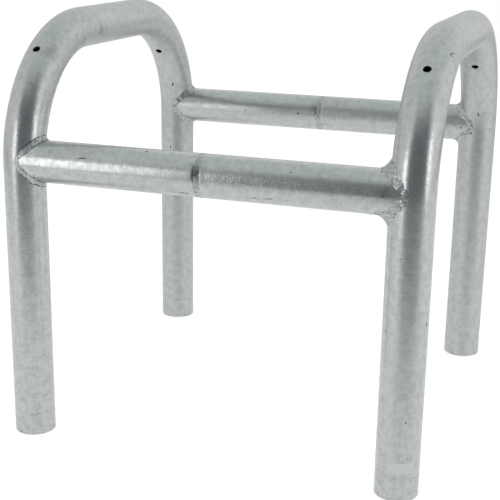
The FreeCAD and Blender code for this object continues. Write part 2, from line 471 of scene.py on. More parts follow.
@dataclass(frozen=True)
class Finish:
    """What all finishes share: a name and one shader, with the finish's reliefs laid over each other."""

    name: str

    def draw(self, add: AddNode) -> Drawing:
        """Draws the finish's patterns.

        Args:
            add: Adds a node to the material's tree.

        Returns:
            What the shader's inputs hold, by their names, and the reliefs from the lowest to the topmost.
        """
        raise NotImplementedError

    def make(self) -> Material:
        """Makes the material.

        Returns:
            The material, with the patterns and reliefs linked to its shader.
        """
        material = bpy.data.materials.new(self.name)
        material.use_nodes = True
        material.node_tree.nodes.clear()
        add = partial(add_node, material.node_tree)
        looks, reliefs = self.draw(add)
        below: dict[str, Any] = {}
        for relief in reliefs:
            bump = {"Height": relief.pattern, "Strength": relief.strength, "Distance": relief.depth_mm * MM}
            below = {"Normal": add("Bump", bump | below, invert=relief.sunk)}
        add("OutputMaterial", {"Surface": add("BsdfPrincipled", looks | below)})
        return material


@dataclass(frozen=True)
class TubeZinc(Finish):
    """Hot-dip zinc on drawn steel tube.

    The bath leaves a bright skin with dull clouds, faint rings and streaks from drawing and bending, thin
    dark flow lines where the zinc drained, strongest near the feet, a grain that sparkles in dark
    reflections, and small ash pits and stains. At the front seam, painted shade darkens the skin as a dark
    reflection painted on. The bends, the top and the inner faces of the rear tubes are matt, and their colour
    is painted slightly paler, a painted brightening. The real rings, streaks and grain are finer, and are
    drawn as coarse as they need to show.
    """

    name: str = "hot_dip_zinc_on_drawn_tube"
    bright: str = "#C5C8C7"
    dull: str = "#B9BCBB"
    # The ash colour also paints the shade at the front seam, a dark reflection painted on
    ash: str = "#5A5F60"
    gloss: Span = (0.26, 0.31)
    matt: float = 0.5
    matt_gain: float = 1.05
    cloud_mm: float = 10.0
    cloud_edge: Span = (0.36, 0.66)
    ring_mm: float = 2.6
    streak_mm: float = 3.5
    stretch: float = 30.0
    line_noise: Span = (0.7, 1.3)
    line_tone: float = 0.28
    flow_mm: float = 9.0
    flow_stretch: float = 4.0
    flow_bend: float = 0.6
    flow_width: float = 0.022
    foot_heights: Span = (0.03, 0.16)
    flow_tones: Span = (0.45, 0.16)
    pit_spacing_mm: float = 30.0
    pit_rarity: float = 0.55
    pit_width: float = 0.07
    pit_edge: float = 0.02
    stain_noise: Span = (0.3, 0.7)
    stain_tones: Span = (0.5, 1.4)
    grain_mm: float = 2.6
    peel_mm: float = 16.0

    def draw(self, add: AddNode) -> Drawing:
        """Draws the patterns on the straightened coordinates of each tube.

        Args:
            add: Adds a node to the material's tree.

        Returns:
            What the shader's inputs hold, and the reliefs of the peel, the rings, the grain and the pits.
        """
        place = add("Attribute", (), "Vector", attribute_name=Kept.TUBE_PLACE.value)
        matt, grain_share, stain_and_shade = (
            add("Attribute", (), "Fac", attribute_name=kept.value)
            for kept in (Kept.DULL, Kept.GRAIN, Kept.STAIN)
        )
        thin, short = 1 / self.stretch, 1 / self.flow_stretch
        across, lengthwise, draining = (
            add("Mapping", {"Vector": place, "Scale": scale})
            for scale in ((thin, thin, 1.0), (1.0, 1.0, thin), (short, short, 1.0))
        )
        cloud, rings, streaks, grain, peel, flow = (
            add("TexNoise", {"Vector": way, "Scale": per_metre(cell_mm), **noise})
            for way, cell_mm, noise in (
                (place, self.cloud_mm, {"Detail": 4.0, "Roughness": 0.66}),
                (across, self.ring_mm, {"Detail": 2.0}),
                (lengthwise, self.streak_mm, {"Detail": 2.0}),
                (place, self.grain_mm, {"Detail": 2.0, "Roughness": 0.6}),
                (place, self.peel_mm, {"Detail": 1.0}),
                (draining, self.flow_mm, {"Detail": 3.0, "Distortion": self.flow_bend}),
            )
        )

        dullness = add("MapRange", (cloud, *self.cloud_edge), interpolation_type="SMOOTHSTEP")
        lines = add("Math", (rings, streaks), operation="ADD")
        line_shade = add("MapRange", (lines, *self.line_noise, -self.line_tone, self.line_tone))
        tone = add("Math", (dullness, line_shade), operation="ADD", use_clamp=True)
        skin = add("Mix", (tone, linear(self.bright), linear(self.dull)), data_type="RGBA")
        flow_side = add("Math", (flow, 0.5), operation="SUBTRACT")
        flow_gap = add("Math", (flow_side,), operation="ABSOLUTE")
        height = add("SeparateXYZ", (add("TexCoord", (), "Object"),), "Z")
        run_off = add("MapRange", (height, *self.foot_heights, *self.flow_tones))
        flow_line = add("MapRange", (flow_gap, 0.0, self.flow_width, run_off, 0.0))
        flow_seen = add("Math", (flow_line, dullness), operation="MULTIPLY")
        drained = add("Mix", (flow_seen, skin, linear(self.ash)), data_type="RGBA")
        # Where the zinc is matt, its colour is painted slightly paler: a painted brightening, besides the
        # real matt roughness
        painted_brightening = add("MapRange", (matt, 0.0, 1.0, 1.0, self.matt_gain))
        painted_paler_skin = add("VectorMath", (drained, painted_brightening), operation="SCALE")

        from_pit = add("TexVoronoi", {"Vector": place, "Scale": per_metre(self.pit_spacing_mm)})
        chance = add("SeparateColor", (from_pit.node.outputs["Color"],), "Red")
        pit_size = add("MapRange", (chance, self.pit_rarity, 1.0, 0.0, self.pit_width))
        pit_depth = add("Math", (pit_size, from_pit), operation="SUBTRACT")
        pit = add("MapRange", (pit_depth, 0.0, self.pit_edge))
        # The stains darken the skin towards the ash colour; at the front seam this darkening is painted shade
        patchy = add("MapRange", (cloud, *self.stain_noise, *self.stain_tones))
        patches = add("Math", (stain_and_shade, patchy), operation="MULTIPLY")
        dark = add("Math", (patches, pit), operation="MAXIMUM")
        colour = add("Mix", (dark, painted_paler_skin, linear(self.ash)), data_type="RGBA")

        drawn = add("MapRange", (tone, 0.0, 1.0, *self.gloss))
        roughness = add("MapRange", (matt, 0.0, 1.0, drawn, self.matt))
        reliefs = [
            Relief(peel, grain_share, depth_mm=0.35),
            Relief(rings, 0.35, depth_mm=0.06),
            Relief(grain, grain_share, depth_mm=0.2),
            Relief(pit, 0.8, depth_mm=0.4, sunk=True),
        ]
        return {"Base Color": colour, "Roughness": roughness, "Metallic": 1.0}, reliefs


@dataclass(frozen=True)
class WeldZinc(Finish):
    """Hot-dip zinc over an arc weld: lumpy, with bright glints, dark flecks, and dark lines along its toes
    that are slag and painted shade in the crevice where the bead meets the tube.

    The real grit is finer, and is drawn as coarse as it needs to show.
    """

    name: str = "hot_dip_zinc_on_arc_weld"
    bright: str = "#C4C7C7"
    dull: str = "#A8ACAC"
    # This colour paints the slag, and along the toes also the painted crevice shade
    slag: str = "#3B4042"
    gloss: Span = (0.34, 0.5)
    lump_mm: float = 3.4
    lump_edge: Span = (0.38, 0.62)
    grit_mm: float = 1.8
    fleck_edge: Span = (0.58, 0.68)
    toe_edge: Span = (0.26, 0.44)

    def draw(self, add: AddNode) -> Drawing:
        """Draws the patterns on object coordinates, and the slag and painted crevice shade by the weld's own
        toes.

        Args:
            add: Adds a node to the material's tree.

        Returns:
            What the shader's inputs hold, and the reliefs of the lumps and the grit.
        """
        place = add("TexCoord", (), "Object")
        toe, stain_and_shade = (
            add("Attribute", (), "Fac", attribute_name=kept.value) for kept in (Kept.TOE, Kept.STAIN)
        )
        lumps, grit = (
            add("TexNoise", {"Vector": place, "Scale": per_metre(cell_mm), **noise})
            for cell_mm, noise in (
                (self.lump_mm, {"Detail": 3.0, "Roughness": 0.6}),
                (self.grit_mm, {"Detail": 2.0}),
            )
        )
        # The dark line along the toes is slag and painted shade: the crevice where the bead meets the tube is
        # painted darker
        broken = add("Math", (toe, lumps), operation="MULTIPLY")
        patch, flecks, line = (
            add("MapRange", (pattern, *edge), interpolation_type="SMOOTHSTEP")
            for pattern, edge in ((lumps, self.lump_edge), (grit, self.fleck_edge), (broken, self.toe_edge))
        )
        skin = add("Mix", (patch, linear(self.bright), linear(self.dull)), data_type="RGBA")
        flecked = add("Math", (flecks, patch), operation="MULTIPLY")
        slag_and_toe_shade = add("Math", (line, flecked), operation="MAXIMUM")
        # The stains bring the front seam's painted shade onto the ring weld
        dark = add("Math", (slag_and_toe_shade, stain_and_shade), operation="MAXIMUM")
        colour = add("Mix", (dark, skin, linear(self.slag)), data_type="RGBA")
        roughness = add("MapRange", (patch, 0.0, 1.0, *self.gloss))
        reliefs = [Relief(lumps, 0.8, depth_mm=0.6), Relief(grit, 0.6, depth_mm=0.35)]
        return {"Base Color": colour, "Roughness": roughness, "Metallic": 1.0}, reliefs


@dataclass(frozen=True)
class MottledFinish(Finish):
    """A finish whose colour and height follow one mottle. Its relief is a strength and a depth in mm."""

    colours: tuple[str, str]
    roughness: float
    mottle_mm: float
    relief: Span
    metallic: float = 0.0
    detail: float = 3.0
    contrast: float = 0.5
    on_tube: bool = False

    def draw(self, add: AddNode) -> Drawing:
        """Draws the mottle on object coordinates, or on the straightened coordinates of a tube.

        Args:
            add: Adds a node to the material's tree.

        Returns:
            What the shader's inputs hold, and the mottle's relief.
        """
        if self.on_tube:
            place = add("Attribute", (), "Vector", attribute_name=Kept.TUBE_PLACE.value)
        else:
            place = add("TexCoord", (), "Object")
        cells = {"Scale": per_metre(self.mottle_mm), "Detail": self.detail, "Roughness": self.contrast}
        mottle = add("TexNoise", {"Vector": place, **cells})
        colour = add("Mix", (mottle, *map(linear, self.colours)), data_type="RGBA")
        looks = {"Base Color": colour, "Roughness": self.roughness, "Metallic": self.metallic}
        return looks, [Relief(mottle, *self.relief)]


@dataclass(frozen=True)
class BoreZinc(MottledFinish):
    """Hot-dip zinc inside the tubes: duller and darker than outside, with ash that stayed in the bore."""

    name: str = "hot_dip_zinc_inside_bore"
    colours: tuple[str, str] = ("#8E9493", "#5D6262")
    roughness: float = 0.6
    mottle_mm: float = 14.0
    relief: Span = (0.5, 0.6)
    metallic: float = 1.0
    detail: float = 4.0
    contrast: float = 0.65
    on_tube: bool = True


@dataclass(frozen=True)
class AshMark(MottledFinish):
    """Zinc ash and slag caught in the skin: small dark matt spots, with grit coarse enough to show."""

    name: str = "zinc_ash_inclusion"
    colours: tuple[str, str] = ("#2A2D2F", "#6B7071")
    roughness: float = 0.75
    mottle_mm: float = 1.5
    relief: Span = (0.7, 0.3)


@dataclass(frozen=True)
class LabelVinyl(MottledFinish):
    """Blank vinyl film: white with a soft gloss and a slight orange peel from the glue under it."""

    name: str = "blank_vinyl_film"
    colours: tuple[str, str] = ("#F8F8F6", "#F0F0EE")
    roughness: float = 0.38
    mottle_mm: float = 4.0
    relief: Span = (0.3, 0.1)


class Skin(Enum):
    """The finishes that the barrier's pieces wear."""

    TUBE = TubeZinc()
    BORE = BoreZinc()
    WELD = WeldZinc()
    ASH = AshMark()
    LABEL = LabelVinyl()


# Pieces


def stain(piece: Object, sizes: FrameSizes) -> None:
    """Keeps how dark the ash stains and the painted shade are. The painted shade sits at the front seam: a
    dark reflection painted on, which also dims the highlight on the rail's end. The ash stains sit at the
    rear seam, beside a weld, and on the left hoop's bend and top.

    Args:
        piece: A tube or a ring weld.
        sizes: The frame's shared sizes.
    """
    on_front, on_rear = (partial(sizes.rail_spot, side) for side in Side)
    on_hoop = partial(sizes.hoop_spot, Half.LEFT)
    points = points_of(piece)
    dark = np.zeros(len(points))
    for spot, reach_along_mm, reach_round_mm, strength in (
        # Painted shade at the front seam: a dark reflection painted on, reaching over the highlight on the
        # rail's end
        (on_front(-4.5, 164), 8, 11, 0.85),
        (on_rear(-4, 158), 6, 9, 0.5),
        (on_front(250, 172), 12, 9, 0.3),
        (on_hoop(512, 26), 7, 7, 0.2),
        (on_hoop(530, 33), 7, 7, 0.3),
        (on_hoop(566, 44), 11, 11, 0.3),
        (on_hoop(580, 38), 6, 6, 0.3),
        (on_hoop(645, 109), 6, 6, 0.3),
        (on_hoop(707, 97), 8, 8, 0.3),
    ):
        along = np.array(spot.along)
        way = (points - np.array(spot.place)) / MM
        ahead = way @ along
        aside = np.linalg.norm(way - ahead[:, None] * along, axis=1)
        dark += strength * np.exp(-((ahead / reach_along_mm) ** 2) - (aside / reach_round_mm) ** 2)
    store(piece, Kept.STAIN, np.clip(dark, 0.0, 1.0))


@dataclass(kw_only=True)
class Piece:
    """A piece of the barrier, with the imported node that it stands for, if there is one."""

    name: str
    half: Half
    sizes: FrameSizes
    node: str | None = None
    slot: str = "zinc_weld"
    skins: tuple[Skin, ...] = (Skin.WELD,)
    crease: float = 70.0

    @property
    def hoop_x(self) -> float:
        """The place of the half's hoop along X."""
        return -self.half.inward * self.sizes.hoop_x

    def build(self) -> Object:
        """Models the piece, which is at the origin, unturned and unscaled."""
        raise NotImplementedError

    def dress(self, piece: Object, materials: dict[Skin, Material]) -> None:
        """Names and smooths the built piece, gives it its skins and lets it ride on its half.

        Args:
            piece: The built piece.
            materials: The material of each skin.
        """
        piece.name = piece.data.name = self.name
        for skin in self.skins:
            piece.data.materials.append(materials[skin])
        take(piece)
        bpy.ops.object.shade_smooth_by_angle(angle=math.radians(self.crease))
        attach(piece, self.half.value)
        if self.node:
            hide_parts(self.node)


@dataclass(kw_only=True)
class Tube(Piece):
    """A tube of the frame, drawn out from a circle, with a wall, and zinc outside and inside."""

    slot: str = "zinc_tube"
    skins: tuple[Skin, ...] = (Skin.TUBE, Skin.BORE)
    crease: float = 35.0
    sides: int = 96
    grain: float = 0.6
    pattern_shift: float = 0.0
    bore_edge: float = 0.5 * MM

    @property
    def bore_radius(self) -> float:
        """The inner radius of the tube."""
        return self.sizes.radius - self.sizes.wall

    @staticmethod
    def draw_out(way: Triple, steps: int) -> None:
        """Draws out the open end of the tube that is being edited.

        Args:
            way: How far the end moves along each axis.
            steps: How many rings of faces that makes.
        """
        step = tuple(part / steps for part in way)
        for _ in range(steps):
            bpy.ops.mesh.extrude_region_move(TRANSFORM_OT_translate={"value": step})

    @staticmethod
    def thicken(tube: Object, wall: float, round_edge: float) -> None:
        """Gives an open tube its wall, inwards, and rounds its mouths.

        Args:
            tube: The open tube, with its faces outwards.
            wall: The wall's thickness.
            round_edge: The rounding of the mouths' edges.
        """
        apply_modifier(tube, "SOLIDIFY", thickness=wall, offset=-1.0, use_even_offset=True)
        apply_modifier(
            tube, "BEVEL", width=round_edge, segments=2, limit_method="ANGLE", angle_limit=math.radians(50)
        )

    def straighten(self, points: np.ndarray) -> tuple[np.ndarray, np.ndarray]:
        """Measures points as if the tube were straight.

        Args:
            points: Rows of X, Y and Z on the tube.

        Returns:
            Rows of two places across the tube and one along it, and how dull the zinc is at each point.
        """
        raise NotImplementedError

    def dress(self, piece: Object, materials: dict[Skin, Material]) -> None:
        """Gives the tube its grain, dull stretches, stains and the painted shade at the front seam, and its
        bore the second of its skins.

        Args:
            piece: The built tube.
            materials: The material of each skin.
        """
        straight, dull = self.straighten(points_of(piece))
        store(piece, Kept.TUBE_PLACE, straight + np.array([0.0, 0.0, self.pattern_shift]))
        store(piece, Kept.DULL, dull)
        store(piece, Kept.GRAIN, np.full(len(dull), self.grain))
        stain(piece, self.sizes)
        super().dress(piece, materials)
        mesh = piece.data
        corners, starts = (np.zeros(len(items), dtype=np.int32) for items in (mesh.loops, mesh.polygons))
        mesh.loops.foreach_get("vertex_index", corners)
        mesh.polygons.foreach_get("loop_start", starts)
        from_axis = np.hypot(straight[:, 0], straight[:, 1])
        inside = np.maximum.reduceat(from_axis[corners], starts) < self.bore_radius + self.bore_edge
        fill(mesh.polygons, "material_index", inside.astype(np.int32))


@dataclass(kw_only=True)
class Hoop(Tube):
    """One tube bent to an upside-down U, with a vent hole through each bend for the zinc bath."""

    ring_step: float = 6 * MM
    foot_round: float = 0.6 * MM
    vent_radius: float = 6 * MM
    vent_angle: float = math.radians(50)
    vent_sides: int = 40
    lip_offset: float = 0.35 * MM
    lip_radius: float = 0.8 * MM
    lip_flatness: float = 0.55
    dull_turns: tuple[float, ...] = (28, 60, 80, 105)
    dull_shares: tuple[float, ...] = (0.0, 1.0, 1.0, 0.8)
    rear_dull: float = 0.85

    def bend_tube(self) -> Object:
        """Draws half of the hoop from a circle at the front foot, and mirrors it to the rear.

        Returns:
            The open tube, with its faces outwards.
        """
        sizes = self.sizes
        tube = start_piece(
            bpy.ops.mesh.primitive_circle_add,
            vertices=self.sides, radius=sizes.radius, location=(self.hoop_x, -sizes.leg_y, 0),
        )
        lengths = (sizes.bend_z, sizes.bend_radius * math.pi / 2, sizes.bend_y)
        leg_steps, bend_steps, top_steps = (round(length / self.ring_step) for length in lengths)
        with editing(tube):
            self.draw_out((0, 0, sizes.bend_z), leg_steps)
            bpy.ops.mesh.spin(
                steps=bend_steps, angle=math.pi / 2, axis=(1, 0, 0),
                center=(self.hoop_x, -sizes.bend_y, sizes.bend_z),
            )
            self.draw_out((0, sizes.bend_y, 0), top_steps)
        apply_modifier(
            tube, "MIRROR", use_axis=(False, True, False), use_clip=True, merge_threshold=0.01 * MM
        )
        face_outwards(tube)
        return tube

    def on_vent(self, side: Side, stand: Any, along: Any = 0.0) -> tuple[Any, Any]:
        """Finds a place near a vent's axis.

        Args:
            side: The bend that the vent is in.
            stand: The distance from the bend's centre, along the vent.
            along: The distance from the vent's axis, along the bend.

        Returns:
            The place across the hoop and its height.
        """
        cos_vent, sin_vent = math.cos(self.vent_angle), math.sin(self.vent_angle)
        y = side.value * (self.sizes.bend_y + stand * cos_vent - along * sin_vent)
        return y, self.sizes.bend_z + stand * sin_vent + along * cos_vent

    def vent_lip(self, side: Side, outwards: int) -> Object:
        """Makes the lip of zinc that the bath leaves round one mouth of a vent.

        Args:
            side: The bend that the vent is in.
            outwards: 1 for the mouth on the outside of the bend, -1 for the one on its inside.

        Returns:
            A ring that follows the tube's surface round the hole.
        """
        lip = start_piece(
            bpy.ops.mesh.primitive_torus_add,
            major_segments=48, minor_segments=10,
            major_radius=self.vent_radius + self.lip_offset, minor_radius=self.lip_radius,
        )
        across, along, height = points_of(lip).T
        reach = self.sizes.bend_radius + outwards * np.sqrt(self.sizes.radius**2 - across**2)
        stand = np.sqrt(reach**2 - along**2) + outwards * height * self.lip_flatness
        move_points(lip, np.column_stack([self.hoop_x + across, *self.on_vent(side, stand, along)]))
        face_outwards(lip)
        return lip

    def build(self) -> Object:
        """Bends and thickens the tube, drills its vents through both walls and adds their lips.

        Returns:
            The hoop, without its zinc.
        """
        tube = self.bend_tube()
        self.thicken(tube, self.sizes.wall, self.foot_round)
        drills = [
            start_piece(
                bpy.ops.mesh.primitive_cylinder_add,
                vertices=self.vent_sides, radius=self.vent_radius, depth=3 * self.sizes.radius,
                location=(self.hoop_x, *self.on_vent(side, self.sizes.bend_radius)),
                rotation=(side.value * (self.vent_angle - math.pi / 2), 0, 0),
            )
            for side in Side
        ]
        drill = join(drills)
        apply_modifier(tube, "BOOLEAN", operation="DIFFERENCE", object=drill, solver="EXACT")
        bpy.data.objects.remove(drill)
        return join([tube, *[self.vent_lip(side, outwards) for side in Side for outwards in (1, -1)]])

    def straighten(self, points: np.ndarray) -> tuple[np.ndarray, np.ndarray]:
        """Measures points along the hoop's centre line, with dull bends and a dull rear.

        Args:
            points: Rows of X, Y and Z on the hoop.

        Returns:
            Rows of two places across the tube and one along it, and how dull the zinc is at each point.
        """
        sizes, y = self.sizes, points[:, 1]
        offset, length, _ = sizes.along_hoop(points)
        from_foot = np.minimum(length, 2 * sizes.half_path - length)
        turned = np.degrees((from_foot - sizes.bend_z) / sizes.bend_radius)
        bend = np.interp(turned, self.dull_turns, self.dull_shares)
        rear = np.where(y > 0, self.rear_dull * sizes.sheltered(y), 0.0)
        return np.column_stack([points[:, 0] - self.hoop_x, offset, length]), np.maximum(bend, rear)


@dataclass(kw_only=True)
class StraightTube(Tube):
    """A straight tube on the axis of a rail."""

    side: Side
    dull: float = 0.0

    def draw_straight(self, start: Triple, end_x: float, radius: float, steps: int) -> Object:
        """Draws an open tube along X.

        Args:
            start: The middle of the end where it starts.
            end_x: Where it ends along X.
            radius: Its outer radius.
            steps: How many rings of faces it has.

        Returns:
            The open tube, with its faces outwards.
        """
        tube = start_piece(
            bpy.ops.mesh.primitive_circle_add,
            vertices=self.sides, radius=radius, location=start, rotation=(0, math.pi / 2, 0),
        )
        with editing(tube):
            self.draw_out((end_x - start[0], 0, 0), steps)
        face_outwards(tube)
        return tube

    def straighten(self, points: np.ndarray) -> tuple[np.ndarray, np.ndarray]:
        """Measures points from the rail's axis.

        Args:
            points: Rows of X, Y and Z on the tube.

        Returns:
            Rows of two places across the tube and one along it, and how dull the zinc is at each point.
        """
        across = points[:, 1:] - self.sizes.rail_axis(self.side)[1:]
        return np.column_stack([across, points[:, 0]]), self.dull * self.sizes.sheltered(points[:, 1])


@dataclass(kw_only=True)
class Rail(StraightTube):
    """Half a rail: a straight tube, coped to fit its hoop at one end and open at the other."""

    ring_step: float = 4 * MM
    mouth_round: float = 0.25 * MM
    cope_sink: float = 0.4 * MM
    cope_start: float = 0.6

    def build(self) -> Object:
        """Draws the tube from its mouth to the hoop's plane, and its end back to the hoop's outside.

        Returns:
            The rail, without its zinc.
        """
        low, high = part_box(self.node)
        mouth_x = high.x if self.half.inward > 0 else low.x
        steps = round(abs(mouth_x - self.hoop_x) / self.ring_step)
        mouth = (mouth_x, *self.sizes.rail_axis(self.side)[1:])
        tube = self.draw_straight(mouth, self.hoop_x, self.sizes.radius, steps)
        self.thicken(tube, self.sizes.wall, self.mouth_round)
        points = points_of(tube)
        share = (points[:, 0] - mouth_x) / (self.hoop_x - mouth_x)
        near_hoop = np.clip((share - self.cope_start) / (1 - self.cope_start), 0.0, 1.0)
        drawn_back = np.maximum(self.sizes.cope(points) - self.cope_sink, 0.0)
        points[:, 0] += self.half.inward * near_hoop * drawn_back
        move_points(tube, points)
        return tube


@dataclass(kw_only=True)
class Spigot(StraightTube):
    """The smaller tube that is welded into one rail and slides into the rail of the other half."""

    wall: float = 2.6 * MM
    end_round: float = 1.2 * MM
    sides: int = 72
    steps: int = 24

    @property
    def bore_radius(self) -> float:
        """The inner radius of the spigot."""
        low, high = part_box(self.node)
        return (high.z - low.z) / 2 - self.wall

    def build(self) -> Object:
        """Draws the tube along the middle of its node and rounds its ends.

        Returns:
            The spigot, without its zinc.
        """
        low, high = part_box(self.node)
        start = (low.x, (low.y + high.y) / 2, (low.z + high.z) / 2)
        tube = self.draw_straight(start, high.x, (high.z - low.z) / 2, self.steps)
        self.thicken(tube, self.wall, self.end_round)
        return tube


def wander(angles: np.ndarray, waves: range, chance: random.Random) -> np.ndarray:
    """Gives an uneven closed course round a weld.

    Args:
        angles: Places round the weld.
        waves: How many waves each part of the course has.
        chance: The seeded source of their heights and phases.

    Returns:
        Values of about -1 to 1.
    """
    total = np.zeros_like(angles)
    for count in waves:
        total += chance.uniform(0.5, 1.0) * np.sin(count * angles + chance.uniform(0, 2 * math.pi))
    return total / math.sqrt(len(waves))


@dataclass(kw_only=True)
class Weld(Piece):
    """A bead round a rail: a ring of sections, each with points on its skin and points at its root."""

    side: Side
    seed: int
    skin_points: int
    root_points: int
    # The most that the torus operator makes: it cuts a higher number down without a word
    segments: int = 256

    @property
    def angles(self) -> np.ndarray:
        """The places of the bead's sections round the rail."""
        return np.arange(self.segments) * 2 * math.pi / self.segments

    @property
    def spokes(self) -> np.ndarray:
        """The rail's outward normals at the bead's sections."""
        return np.column_stack([np.zeros(self.segments), np.cos(self.angles), np.sin(self.angles)])

    @property
    def from_toe(self) -> np.ndarray:
        """How far each of the bead's points is from the nearer toe, about 1 in the middle of the skin."""
        place = np.tile(np.arange(self.skin_points + self.root_points), self.segments)
        return np.minimum(place, np.abs(self.skin_points - 1 - place)) / (self.skin_points / 2)

    def lay(self, skin: np.ndarray, root: np.ndarray) -> Object:
        """Lays the bead as a ring.

        Args:
            skin: For each section, the points of its skin.
            root: For each section, the points of its root.

        Returns:
            The closed bead.
        """
        ring = start_piece(
            bpy.ops.mesh.primitive_torus_add,
            major_segments=self.segments, minor_segments=self.skin_points + self.root_points,
            major_radius=self.sizes.radius, minor_radius=self.sizes.wall,
        )
        move_points(ring, np.concatenate([skin, root], axis=1).reshape(-1, 3))
        face_outwards(ring)
        return ring


@dataclass(kw_only=True)
class SaddleWeld(Weld):
    """The weld round the end of a rail: an arc bead that fills the corner between rail and hoop."""

    corner_leg: float
    spatter_count: int
    toe_share: float
    uneven: float = 0.4
    spatter_turn: float = 0.0
    spatter_spread: float = math.pi
    spatter_radii: Span = (0.45 * MM, 1.0 * MM)
    spatter_start: float = 0.3
    spatter_reach: float = 12 * MM
    spatter_sunk: float = 0.3
    slag_ball_every: int = 3
    fillet_rise: float = 0.65
    fillet_curve: float = 2.3
    side_leg: float = 4.6 * MM
    side_crown: float = 0.5 * MM
    hollow: float = 0.2
    leg_uneven: float = 0.12
    apex_round: float = 5.0 * MM
    toe_sink: float = 0.25 * MM
    toe_fade: float = 1.7
    ripple_pitch: float = 4.6 * MM
    ripple_height: float = 0.1 * MM
    ripple_lag: float = 0.4
    root_depth: float = 2.2 * MM
    skin_points: int = 15
    root_points: int = 5

    def seam(self) -> tuple[np.ndarray, np.ndarray]:
        """Follows the line where the rail's outside meets the hoop's.

        Returns:
            The seam's points and directions.
        """
        points = self.sizes.rail_axis(self.side) + self.sizes.radius * self.spokes
        stand = np.hypot(self.sizes.cope(points), self.apex_round)
        points[:, 0] = self.half.inward * (stand - self.sizes.hoop_x)
        course = np.roll(points, -1, axis=0) - np.roll(points, 1, axis=0)
        return points, course / np.linalg.norm(course, axis=1)[:, None]

    def leg(self, turn: Any) -> Any:
        """Gives the bead's leg length at places round the rail."""
        return self.side_leg + (self.corner_leg - self.side_leg) * np.sin(turn) ** 2

    def toes(self, width: np.ndarray) -> tuple[np.ndarray, np.ndarray, np.ndarray]:
        """Finds the two edges of the bead.

        Args:
            width: The bead's leg length at each point of the seam.

        Returns:
            The toe on the rail, the toe on the hoop, and the way out of the corner.
        """
        inward, spokes = self.half.inward, self.spokes
        seam, course = self.seam()
        _, hoop_normals = self.sizes.onto_hoop(seam, self.hoop_x, sink=0.0)
        on_rail = np.cross(course, spokes)
        on_rail *= np.sign(inward * on_rail[:, :1])
        on_hoop = np.cross(hoop_normals, course)
        away = spokes - np.array([inward, 0.0, 0.0])
        on_hoop *= np.sign(np.sum(on_hoop * away, axis=1))[:, None]
        rail_toe = seam + on_rail * width[:, None]
        axis = self.sizes.rail_axis(self.side)[1:]
        across = rail_toe[:, 1:] - axis
        across *= (self.sizes.radius - self.toe_sink) / np.linalg.norm(across, axis=1)[:, None]
        rail_toe[:, 1:] = axis + across
        hoop_toe, _ = self.sizes.onto_hoop(seam + on_hoop * width[:, None], self.hoop_x, self.toe_sink)
        out = spokes + hoop_normals
        return rail_toe, hoop_toe, out / np.linalg.norm(out, axis=1)[:, None]

    def bead(self) -> Object:
        """Gives a ring along the seam the section of a bead, with its ripples and lumps.

        Returns:
            The closed bead.
        """
        chance = random.Random(self.seed)
        angles = self.angles
        seam, _ = self.seam()
        corner = np.sin(angles) ** 2
        width = self.leg(angles) * (1 + self.leg_uneven * wander(angles, range(5, 17), chance))
        crown = self.side_crown * (1 - corner) - self.hollow * width * corner
        crown += self.uneven * self.side_crown * wander(angles, range(9, 33), chance)
        rail_toe, hoop_toe, out = self.toes(width)
        travelled = np.cumsum(np.linalg.norm(np.roll(seam, -1, axis=0) - seam, axis=1))
        pitch = travelled[-1] / round(travelled[-1] / self.ripple_pitch)

        share = np.linspace(0.0, 1.0, self.skin_points)[None, :, None]
        arch = 4 * share * (1 - share)
        swing = travelled[:, None, None] + self.ripple_lag * pitch * arch
        ripple = self.ripple_height * np.abs(np.sin(math.pi * swing / pitch)) * arch
        chord = rail_toe[:, None] * (1 - share) + hoop_toe[:, None] * share
        skin = chord + out[:, None] * (crown[:, None, None] * arch + ripple)
        back = np.linspace(1.0, 0.0, self.root_points + 2)[None, 1:-1, None]
        sunk = rail_toe[:, None] * (1 - back) + hoop_toe[:, None] * back
        deep = (seam - out * self.root_depth)[:, None]
        sag = 4 * back * (1 - back)
        return self.lay(skin, sunk * (1 - sag) + deep * sag)

    def spatter(self) -> list[Object]:
        """Scatters small beads of weld spatter over the fillet and the rail beside it, half sunk in.

        Returns:
            The beads.
        """
        chance = random.Random(self.seed + 1)
        seam, _ = self.seam()
        balls = []
        for _ in range(self.spatter_count):
            turn = self.spatter_turn + chance.uniform(-self.spatter_spread, self.spatter_spread)
            spot = round(turn / (2 * math.pi) * self.segments) % self.segments
            radius = chance.uniform(*self.spatter_radii)
            leg = self.leg(turn)
            away = chance.uniform(self.spatter_start * leg, leg + self.spatter_reach)
            # The hollow fillet rises towards the hoop, to about two thirds of its leg
            lift = self.fillet_rise * leg * max(1 - away / leg, 0.0) ** self.fillet_curve
            place = Vector(seam[spot]) + Vector(self.spokes[spot]) * (lift - self.spatter_sunk * radius)
            place.x += self.half.inward * away
            ball = start_piece(
                bpy.ops.mesh.primitive_ico_sphere_add, subdivisions=2, radius=radius, location=place
            )
            balls.append(ball)
        return balls

    def build(self) -> Object:
        """Joins the bead and its spatter, and marks the bead's toes, which get slag and painted crevice
        shade, and the balls of slag.

        Returns:
            The weld, without its zinc.
        """
        toes = self.toe_share * np.clip(1 - self.toe_fade * self.from_toe, 0.0, 1.0)
        weld = join([self.bead(), *self.spatter()])
        ball_points = (len(weld.data.vertices) - len(toes)) // self.spatter_count
        slag_balls = np.arange(self.spatter_count) % self.slag_ball_every == 0
        store(weld, Kept.TOE, np.concatenate([toes, np.repeat(slag_balls * 1.0, ball_points)]))
        return weld


